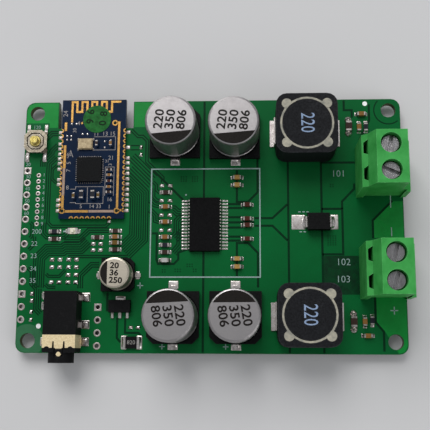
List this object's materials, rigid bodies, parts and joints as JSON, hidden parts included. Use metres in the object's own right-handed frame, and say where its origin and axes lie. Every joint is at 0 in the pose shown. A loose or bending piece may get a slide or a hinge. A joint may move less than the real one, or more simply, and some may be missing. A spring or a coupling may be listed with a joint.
{
  "type": "audio amplifier board",
  "caption": "Green printed board with a wireless module, power amplifier chip, electrolytic capacitors, shielded coils, audio jack, push button and screw terminal blocks.",
  "frame": {"origin": "under the middle of the outer box, at the tips of the terminals' solder pins", "axes": "+X along the board's length from the wiring holes to the screw terminals, +Y across it from the jack's edge to the antenna's, +Z out of the component side"},
  "size_m": [0.0782, 0.0538, 0.0166],
  "materials": {
    "solder_mask": "green solder mask over glass fibre and copper",
    "module_mask": "dark blue solder mask with gold contacts",
    "black_plastic": "moulded black plastic",
    "chip_black": "fine-grained epoxy moulding with tinned leads",
    "tinned_metal": "bright tin plate",
    "can_metal": "drawn aluminium",
    "ferrite": "sintered black ferrite",
    "copper_wire": "enamelled copper wire",
    "epoxy": "cream potting",
    "terminal_green": "moulded green polyamide",
    "screw_steel": "zinc plated steel",
    "brass": "plain brass",
    "jack_shell": "champagne plated sheet",
    "sticker": "translucent green paper sticker",
    "lamp": "white moulding with a clear lens"
  },
  "bodies": {
    "board": {"main_board": "solder_mask", "module_board": "module_mask", "module_chip": "chip_black", "module_crystal": "can_metal", "inspection_sticker": "sticker", "amplifier_chip": "chip_black", "regulator": "chip_black", "reverse_diode": "chip_black", "sense_resistor": "chip_black", "status_lamp": "lamp", "button_housing": "black_plastic", "button_cover": "can_metal", "button_dome": "tinned_metal", "jack_body": "black_plastic", "jack_shell": "jack_shell", "jack_tip_contact": "tinned_metal", "jack_switch_contact": "tinned_metal", "jack_ring_contact": "tinned_metal", "jack_sleeve_contact": "tinned_metal", "filter_capacitor_1_base": "black_plastic", "filter_capacitor_1_can": "can_metal", "filter_capacitor_2_base": "black_plastic", "filter_capacitor_2_can": "can_metal", "filter_capacitor_3_base": "black_plastic", "filter_capacitor_3_can": "can_metal", "filter_capacitor_4_base": "black_plastic", "filter_capacitor_4_can": "can_metal", "supply_capacitor_base": "black_plastic", "supply_capacitor_can": "can_metal", "output_coil_1_shield": "ferrite", "output_coil_1_core": "ferrite", "output_coil_1_winding": "copper_wire", "output_coil_1_potting": "epoxy", "output_coil_1_clip_left": "tinned_metal", "output_coil_1_clip_right": "tinned_metal", "output_coil_2_shield": "ferrite", "output_coil_2_core": "ferrite", "output_coil_2_winding": "copper_wire", "output_coil_2_potting": "epoxy", "output_coil_2_clip_left": "tinned_metal", "output_coil_2_clip_right": "tinned_metal", "speaker_terminal_housing": "terminal_green", "speaker_terminal_contact_1": "tinned_metal", "speaker_terminal_contact_2": "tinned_metal", "power_terminal_housing": "terminal_green", "power_terminal_contact_1": "tinned_metal", "power_terminal_contact_2": "tinned_metal"},
    "button_plunger_body": {"button_plunger": "brass"},
    "speaker_terminal_screw_1_body": {"speaker_terminal_screw_1": "screw_steel"},
    "speaker_terminal_cage_1_body": {"speaker_terminal_cage_1": "tinned_metal"},
    "speaker_terminal_screw_2_body": {"speaker_terminal_screw_2": "screw_steel"},
    "speaker_terminal_cage_2_body": {"speaker_terminal_cage_2": "tinned_metal"},
    "power_terminal_screw_1_body": {"power_terminal_screw_1": "screw_steel"},
    "power_terminal_cage_1_body": {"power_terminal_cage_1": "tinned_metal"},
    "power_terminal_screw_2_body": {"power_terminal_screw_2": "screw_steel"},
    "power_terminal_cage_2_body": {"power_terminal_cage_2": "tinned_metal"}
  },
  "joints": [
    {"name": "button_press", "type": "slide", "parent": "board", "child": "button_plunger_body", "axis": [0, 0, 1], "range_m": [-0.00025, 0], "stiffness_N_per_m": 6000},
    {"name": "speaker_terminal_screw_1_turn", "type": "hinge", "parent": "board", "child": "speaker_terminal_screw_1_body", "pos_m": [0.03385, 0.01376, 0.0146], "axis": [0, 0, 1], "range_deg": [-1800, 0]},
    {"name": "speaker_terminal_cage_1_lift", "type": "slide", "parent": "board", "child": "speaker_terminal_cage_1_body", "axis": [0, 0, 1], "range_m": [0, 0.0025]},
    {"name": "speaker_terminal_screw_2_turn", "type": "hinge", "parent": "board", "child": "speaker_terminal_screw_2_body", "pos_m": [0.03385, 0.00868, 0.0146], "axis": [0, 0, 1], "range_deg": [-1800, 0]},
    {"name": "speaker_terminal_cage_2_lift", "type": "slide", "parent": "board", "child": "speaker_terminal_cage_2_body", "axis": [0, 0, 1], "range_m": [0, 0.0025]},
    {"name": "power_terminal_screw_1_turn", "type": "hinge", "parent": "board", "child": "power_terminal_screw_1_body", "pos_m": [0.03415, -0.00664, 0.0146], "axis": [0, 0, 1], "range_deg": [-1800, 0]},
    {"name": "power_terminal_cage_1_lift", "type": "slide", "parent": "board", "child": "power_terminal_cage_1_body", "axis": [0, 0, 1], "range_m": [0, 0.0025]},
    {"name": "power_terminal_screw_2_turn", "type": "hinge", "parent": "board", "child": "power_terminal_screw_2_body", "pos_m": [0.03415, -0.01172, 0.0146], "axis": [0, 0, 1], "range_deg": [-1800, 0]},
    {"name": "power_terminal_cage_2_lift", "type": "slide", "parent": "board", "child": "power_terminal_cage_2_body", "axis": [0, 0, 1], "range_m": [0, 0.0025]}
  ],
  "couplings": [
    {"joint": "speaker_terminal_screw_1_turn", "follows": "speaker_terminal_cage_1_lift", "rad_per_m": -12566},
    {"joint": "speaker_terminal_screw_2_turn", "follows": "speaker_terminal_cage_2_lift", "rad_per_m": -12566},
    {"joint": "power_terminal_screw_1_turn", "follows": "power_terminal_cage_1_lift", "rad_per_m": -12566},
    {"joint": "power_terminal_screw_2_turn", "follows": "power_terminal_cage_2_lift", "rad_per_m": -12566}
  ]
}
